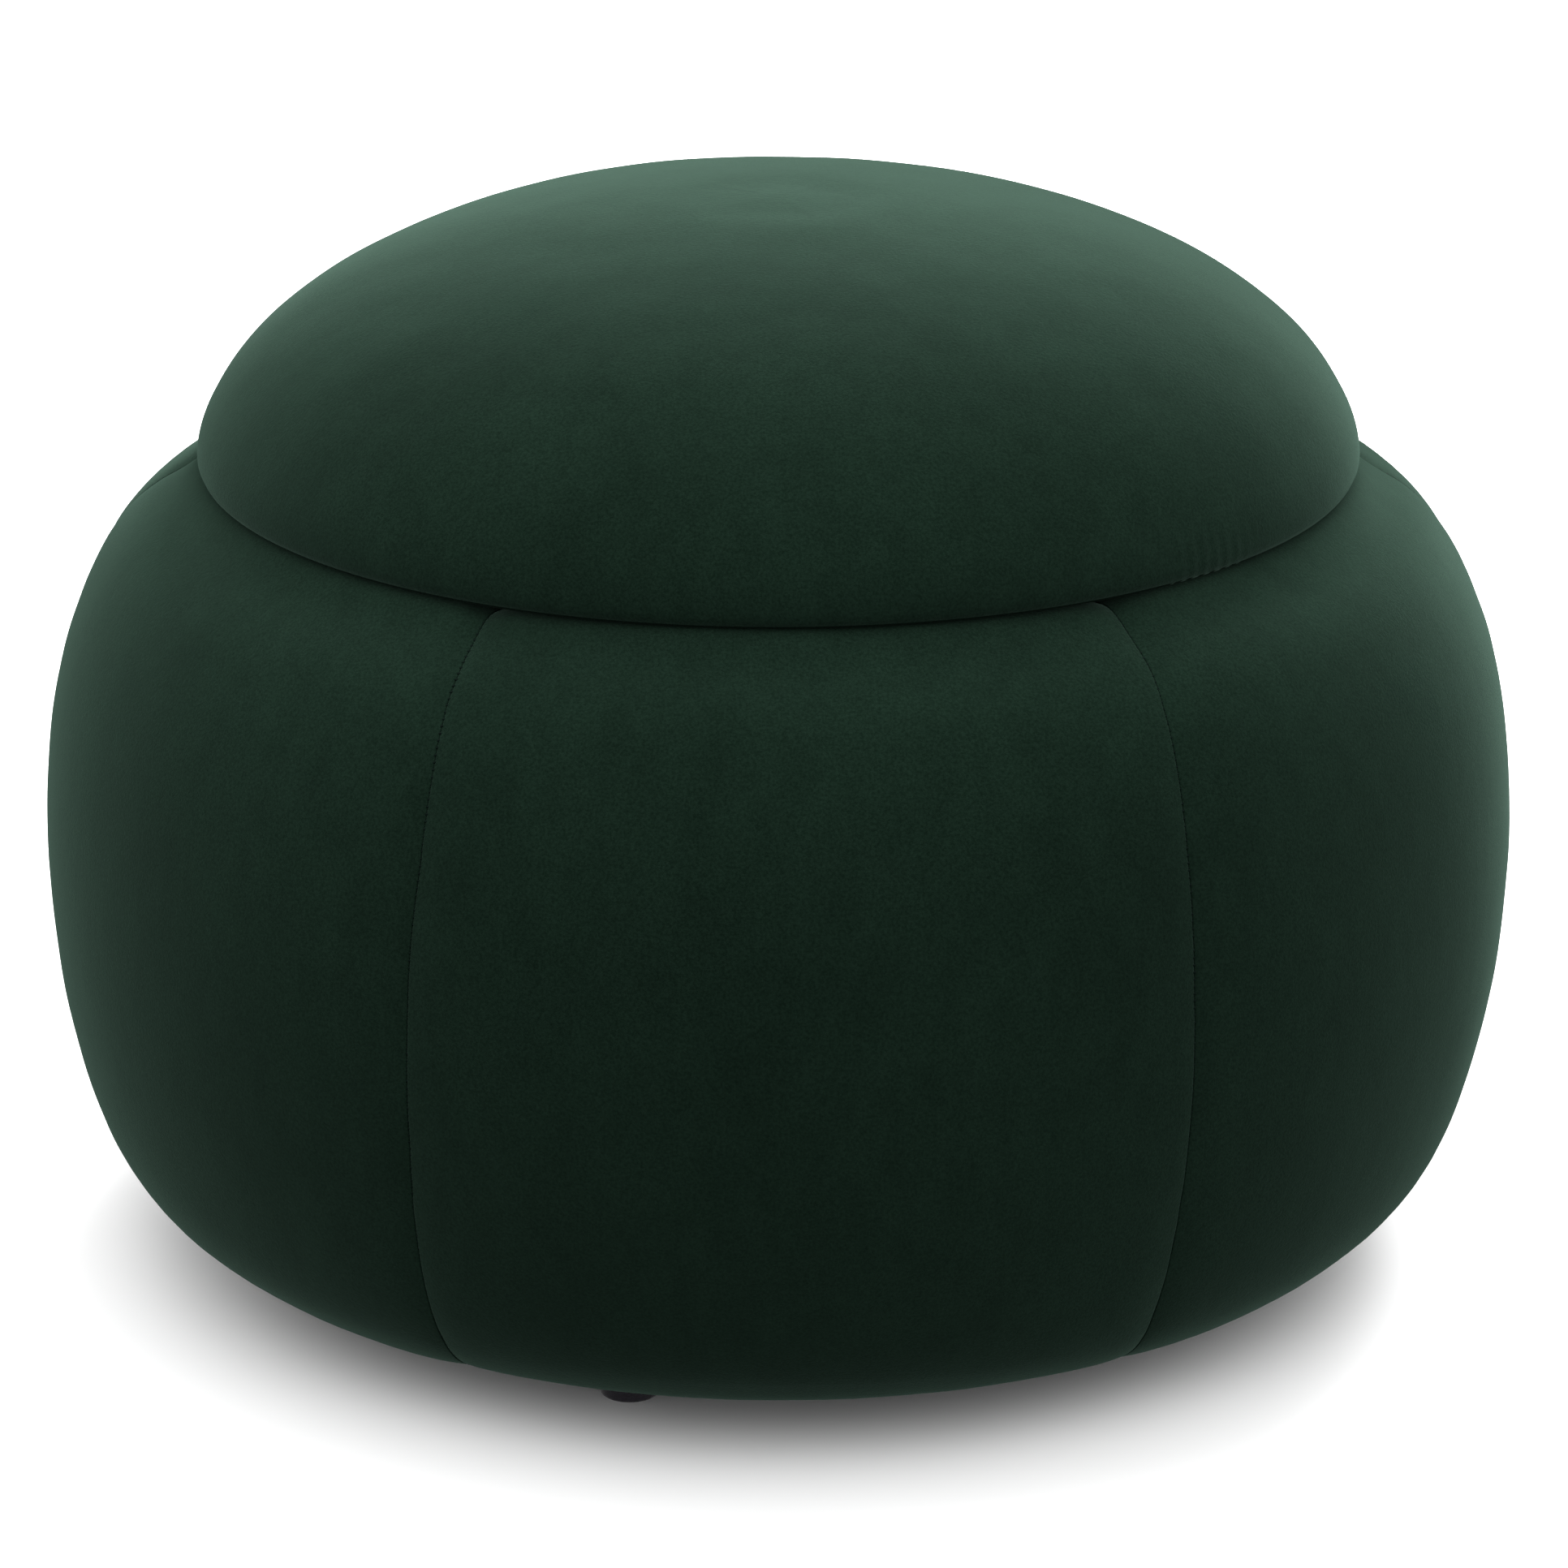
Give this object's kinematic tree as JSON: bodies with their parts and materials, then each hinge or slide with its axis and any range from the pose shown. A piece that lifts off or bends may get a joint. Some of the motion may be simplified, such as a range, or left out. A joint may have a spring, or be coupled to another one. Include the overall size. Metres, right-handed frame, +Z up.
{
  "type": "ottoman with storage",
  "caption": "Low round pouf with bulging seamed velvet sides on short feet. Its domed cushion lid lifts off a lined storage well.",
  "frame": {"origin": "on the floor, on the ottoman's centre line", "axes": "+Z up; -Y towards the front, the middle of one side panel"},
  "size_m": [0.61, 0.61, 0.4415],
  "materials": {
    "velvet": "velvet pile",
    "lining": "matte",
    "lining_board": "matte",
    "non_woven": "matte",
    "foam": "matte",
    "wadding": "matte",
    "plywood": "raw",
    "fibreboard": "raw",
    "plastic": "gloss",
    "steel": "zinc"
  },
  "bodies": {
    "base": {"backing_1": "fibreboard", "backing_2": "fibreboard", "backing_3": "fibreboard", "backing_4": "fibreboard", "backing_5": "fibreboard", "backing_6": "fibreboard", "base_board": "plywood", "base_screws": "steel", "dust_cover": "non_woven", "dust_cover_staples": "steel", "foot_1": "plastic", "foot_2": "plastic", "foot_3": "plastic", "foot_4": "plastic", "foot_screws": "steel", "inner_drum": "fibreboard", "mid_ring": "plywood", "rib_1": "plywood", "rib_2": "plywood", "rib_3": "plywood", "rib_4": "plywood", "rib_5": "plywood", "rib_6": "plywood", "ring_screws": "steel", "side_cover_1": "velvet", "side_cover_2": "velvet", "side_cover_3": "velvet", "side_cover_4": "velvet", "side_cover_5": "velvet", "side_cover_6": "velvet", "side_cover_staples": "steel", "side_foam_1": "foam", "side_foam_2": "foam", "side_foam_3": "foam", "side_foam_4": "foam", "side_foam_5": "foam", "side_foam_6": "foam", "storage_floor": "lining_board", "storage_lining": "lining", "top_ring": "plywood"},
    "lid": {"disc_screws": "steel", "lid_board": "plywood", "lid_cover": "velvet", "lid_cover_staples": "steel", "lid_foam_firm": "foam", "lid_foam_soft": "foam", "lid_lining": "non_woven", "lid_lining_staples": "steel", "lid_wadding": "wadding", "locating_disc": "plywood"}
  },
  "joints": [
    {"name": "lid_lift", "type": "slide", "parent": "base", "child": "lid", "axis": [0, 0, 1], "range_m": [0, 0.3]}
  ]
}
